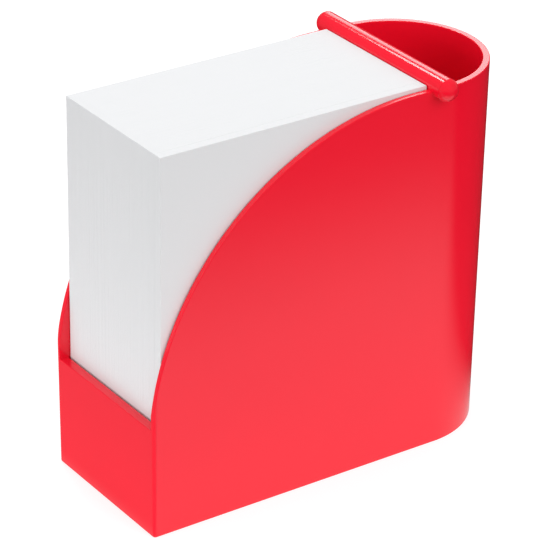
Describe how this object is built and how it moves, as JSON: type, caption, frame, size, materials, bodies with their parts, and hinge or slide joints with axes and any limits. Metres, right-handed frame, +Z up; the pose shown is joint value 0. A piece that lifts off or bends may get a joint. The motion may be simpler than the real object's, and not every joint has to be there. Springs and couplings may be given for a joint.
{
  "type": "memo box with pen holder",
  "caption": "Moulded desk box holding a pile of note slips on edge behind a low lip, with quarter-arc side walls, a round pen well at the rear and a domed cross bar between them.",
  "frame": {"origin": "middle of the standing face, on the surface that the box stands on", "axes": "+Z up; the front lip faces -Y and the round pen well is at +Y; X runs across the box, along the cross bar"},
  "size_m": [0.0622, 0.1226, 0.1163],
  "materials": {
    "housing_plastic": "glossy injection moulded red",
    "divider_plastic": "glossy injection moulded red",
    "bar_plastic": "glossy injection moulded red",
    "stack_paper": "uncoated white, cut edges showing as fine lines",
    "slip_paper": "uncoated white"
  },
  "bodies": {
    "holder": {"housing": "housing_plastic", "divider": "divider_plastic", "cross_bar": "bar_plastic"},
    "slip_stack": {"slip_stack": "stack_paper"},
    "slip_01": {"slip_01": "slip_paper"},
    "slip_02": {"slip_02": "slip_paper"},
    "slip_03": {"slip_03": "slip_paper"},
    "slip_04": {"slip_04": "slip_paper"},
    "slip_05": {"slip_05": "slip_paper"},
    "slip_06": {"slip_06": "slip_paper"},
    "slip_07": {"slip_07": "slip_paper"},
    "slip_08": {"slip_08": "slip_paper"},
    "slip_09": {"slip_09": "slip_paper"},
    "slip_10": {"slip_10": "slip_paper"},
    "slip_11": {"slip_11": "slip_paper"},
    "slip_12": {"slip_12": "slip_paper"},
    "slip_13": {"slip_13": "slip_paper"},
    "slip_14": {"slip_14": "slip_paper"},
    "slip_15": {"slip_15": "slip_paper"},
    "slip_16": {"slip_16": "slip_paper"},
    "slip_17": {"slip_17": "slip_paper"},
    "slip_18": {"slip_18": "slip_paper"},
    "slip_19": {"slip_19": "slip_paper"},
    "slip_20": {"slip_20": "slip_paper"}
  },
  "joints": [
    {"name": "slip_stack_lift", "type": "slide", "parent": "holder", "child": "slip_stack", "axis": [0, 0, 1], "range_m": [0, 0.12]},
    {"name": "slip_01_lift", "type": "slide", "parent": "holder", "child": "slip_01", "axis": [0, 0, 1], "range_m": [0, 0.12]},
    {"name": "slip_02_lift", "type": "slide", "parent": "holder", "child": "slip_02", "axis": [0, 0, 1], "range_m": [0, 0.12]},
    {"name": "slip_03_lift", "type": "slide", "parent": "holder", "child": "slip_03", "axis": [0, 0, 1], "range_m": [0, 0.12]},
    {"name": "slip_04_lift", "type": "slide", "parent": "holder", "child": "slip_04", "axis": [0, 0, 1], "range_m": [0, 0.12]},
    {"name": "slip_05_lift", "type": "slide", "parent": "holder", "child": "slip_05", "axis": [0, 0, 1], "range_m": [0, 0.12]},
    {"name": "slip_06_lift", "type": "slide", "parent": "holder", "child": "slip_06", "axis": [0, 0, 1], "range_m": [0, 0.12]},
    {"name": "slip_07_lift", "type": "slide", "parent": "holder", "child": "slip_07", "axis": [0, 0, 1], "range_m": [0, 0.12]},
    {"name": "slip_08_lift", "type": "slide", "parent": "holder", "child": "slip_08", "axis": [0, 0, 1], "range_m": [0, 0.12]},
    {"name": "slip_09_lift", "type": "slide", "parent": "holder", "child": "slip_09", "axis": [0, 0, 1], "range_m": [0, 0.12]},
    {"name": "slip_10_lift", "type": "slide", "parent": "holder", "child": "slip_10", "axis": [0, 0, 1], "range_m": [0, 0.12]},
    {"name": "slip_11_lift", "type": "slide", "parent": "holder", "child": "slip_11", "axis": [0, 0, 1], "range_m": [0, 0.12]},
    {"name": "slip_12_lift", "type": "slide", "parent": "holder", "child": "slip_12", "axis": [0, 0, 1], "range_m": [0, 0.12]},
    {"name": "slip_13_lift", "type": "slide", "parent": "holder", "child": "slip_13", "axis": [0, 0, 1], "range_m": [0, 0.12]},
    {"name": "slip_14_lift", "type": "slide", "parent": "holder", "child": "slip_14", "axis": [0, 0, 1], "range_m": [0, 0.12]},
    {"name": "slip_15_lift", "type": "slide", "parent": "holder", "child": "slip_15", "axis": [0, 0, 1], "range_m": [0, 0.12]},
    {"name": "slip_16_lift", "type": "slide", "parent": "holder", "child": "slip_16", "axis": [0, 0, 1], "range_m": [0, 0.12]},
    {"name": "slip_17_lift", "type": "slide", "parent": "holder", "child": "slip_17", "axis": [0, 0, 1], "range_m": [0, 0.12]},
    {"name": "slip_18_lift", "type": "slide", "parent": "holder", "child": "slip_18", "axis": [0, 0, 1], "range_m": [0, 0.12]},
    {"name": "slip_19_lift", "type": "slide", "parent": "holder", "child": "slip_19", "axis": [0, 0, 1], "range_m": [0, 0.12]},
    {"name": "slip_20_lift", "type": "slide", "parent": "holder", "child": "slip_20", "axis": [0, 0, 1], "range_m": [0, 0.12]}
  ]
}
